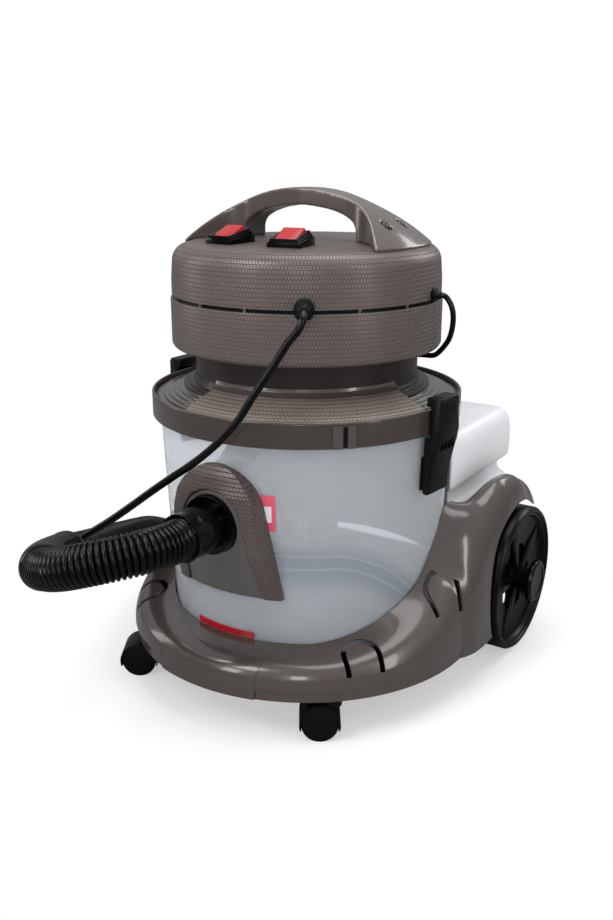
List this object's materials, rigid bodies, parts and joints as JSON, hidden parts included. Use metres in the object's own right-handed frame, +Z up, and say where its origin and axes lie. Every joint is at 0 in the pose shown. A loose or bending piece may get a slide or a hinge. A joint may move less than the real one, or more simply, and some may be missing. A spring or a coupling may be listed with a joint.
{
  "type": "spot extractor",
  "caption": "Canister spot extractor: lift-off motor head on a translucent recovery tank, rear clean tank, wheeled dolly base, ribbed suction hose with solution tube.",
  "frame": {"origin": "on the floor, under the middle of the machine's footprint without the hose", "axes": "+Z up; the suction inlet and the switches face -Y; the rear wheels' axle runs along X"},
  "size_m": [0.5487, 0.8472, 0.5675],
  "materials": {
    "grey_brown_gloss": "glossy metallic grey-brown",
    "grey_brown_textured": "satin grey-brown with a fine woven texture",
    "grey_plate": "satin grey",
    "black_plastic": "satin black",
    "black_gloss": "glossy black",
    "milky_tank": "translucent milky plastic",
    "white_tank": "translucent white plastic",
    "blue_grey": "satin blue-grey",
    "red_plastic": "glossy red",
    "steel": "bright",
    "rubber": "matt black rubber"
  },
  "bodies": {
    "base": {"chassis": "black_plastic", "base_cover_right": "grey_brown_gloss", "base_cover_left": "grey_brown_gloss", "front_panel": "grey_brown_gloss", "trim_strip": "red_plastic", "chassis_screws": "steel", "rear_axle": "steel", "recovery_tank": "milky_tank", "inlet_panel": "grey_brown_textured", "inlet_plate": "grey_plate", "inlet_port": "black_plastic", "port_nut": "grey_plate", "inlet_elbow": "milky_tank", "latch_bracket": "black_plastic", "latch_pins": "steel", "hose_cuff": "black_gloss", "suction_hose": "black_gloss", "hose_collar": "black_gloss", "hose_end_cuff": "black_gloss", "solution_tube": "black_gloss"},
    "head": {"lid_rim": "grey_brown_gloss", "lid_gasket": "rubber", "lid_plate": "grey_brown_gloss", "lid_sector": "grey_brown_textured", "neck": "grey_brown_gloss", "lower_housing": "grey_brown_textured", "motor_deck": "grey_plate", "vent_ring": "black_plastic", "upper_cover": "grey_brown_textured", "handle": "grey_brown_gloss", "switch_bezel_right": "black_plastic", "switch_bezel_left": "black_plastic", "gland_front": "black_plastic", "gland_right": "black_plastic", "supply_tube": "black_gloss", "motor_case": "steel", "motor_seal": "rubber", "pump": "grey_plate", "filter_basket": "blue_grey", "float_cage": "grey_plate"},
    "rotor": {"motor_rotor": "grey_plate"},
    "float": {"float": "white_tank"},
    "rocker_right": {"rocker_right": "red_plastic"},
    "rocker_left": {"rocker_left": "red_plastic"},
    "latch_right": {"latch_right": "black_plastic"},
    "latch_left": {"latch_left": "black_plastic"},
    "wheel_right": {"wheel_right": "black_gloss", "hub_cap_right": "black_gloss"},
    "wheel_left": {"wheel_left": "black_gloss", "hub_cap_left": "black_gloss"},
    "caster_right": {"caster_fork_right": "black_plastic"},
    "caster_left": {"caster_fork_left": "black_plastic"},
    "caster_wheel_right": {"caster_wheel_right": "black_plastic"},
    "caster_wheel_left": {"caster_wheel_left": "black_plastic"},
    "clean_tank": {"clean_tank": "white_tank"},
    "filler_flap": {"filler_flap": "blue_grey"}
  },
  "joints": [
    {"name": "head_lift", "type": "slide", "parent": "base", "child": "head", "axis": [0, 0, 1], "range_m": [0, 0.15], "deforming": ["solution_tube"]},
    {"name": "latch_right_swing", "type": "hinge", "parent": "base", "child": "latch_right", "pos_m": [0.17619, -0.04596, 0.256], "axis": [0.0958, 0.9954, 0], "range_deg": [0, 90]},
    {"name": "latch_left_swing", "type": "hinge", "parent": "base", "child": "latch_left", "pos_m": [-0.177, -0.029, 0.256], "axis": [0, -1, 0], "range_deg": [0, 90]},
    {"name": "wheel_right_spin", "type": "hinge", "parent": "base", "child": "wheel_right", "pos_m": [0.2, 0.1265, 0.0915], "axis": [1, 0, 0], "continuous": true},
    {"name": "wheel_left_spin", "type": "hinge", "parent": "base", "child": "wheel_left", "pos_m": [-0.2, 0.1265, 0.0915], "axis": [1, 0, 0], "continuous": true},
    {"name": "caster_right_swivel", "type": "hinge", "parent": "base", "child": "caster_right", "pos_m": [0.1285, -0.1795, 0.05], "axis": [0, 0, 1], "continuous": true},
    {"name": "caster_left_swivel", "type": "hinge", "parent": "base", "child": "caster_left", "pos_m": [-0.1285, -0.1795, 0.05], "axis": [0, 0, 1], "continuous": true},
    {"name": "caster_right_roll", "type": "hinge", "parent": "caster_right", "child": "caster_wheel_right", "pos_m": [0.11844, -0.18604, 0.02], "axis": [0.5446, -0.8387, 0], "continuous": true},
    {"name": "caster_left_roll", "type": "hinge", "parent": "caster_left", "child": "caster_wheel_left", "pos_m": [-0.13856, -0.18604, 0.02], "axis": [0.5446, -0.8387, 0], "continuous": true},
    {"name": "clean_tank_slide", "type": "slide", "parent": "base", "child": "clean_tank", "axis": [0, 1, 0], "range_m": [0, 0.12]},
    {"name": "flap_hinge", "type": "hinge", "parent": "clean_tank", "child": "filler_flap", "pos_m": [0, 0.23, 0.291], "axis": [-1, 0, 0], "range_deg": [0, 110]},
    {"name": "rocker_right_press", "type": "hinge", "parent": "head", "child": "rocker_right", "pos_m": [0.03912, -0.12039, 0.5184], "axis": [-0.9914, -0.1305, 0], "range_deg": [0, 14]},
    {"name": "rocker_left_press", "type": "hinge", "parent": "head", "child": "rocker_left", "pos_m": [-0.03912, -0.12039, 0.5184], "axis": [-0.9914, 0.1305, 0], "range_deg": [0, 14]},
    {"name": "float_rise", "type": "slide", "parent": "head", "child": "float", "axis": [0, 0, 1], "range_m": [0, 0.019]},
    {"name": "rotor_spin", "type": "hinge", "parent": "head", "child": "rotor", "pos_m": [0, -0.029, 0.45], "axis": [0, 0, 1], "continuous": true}
  ],
  "couplings": [
    {"joint": "latch_right_swing", "follows": "head_lift", "rad_per_m": 10.47},
    {"joint": "latch_left_swing", "follows": "head_lift", "rad_per_m": 10.47}
  ]
}
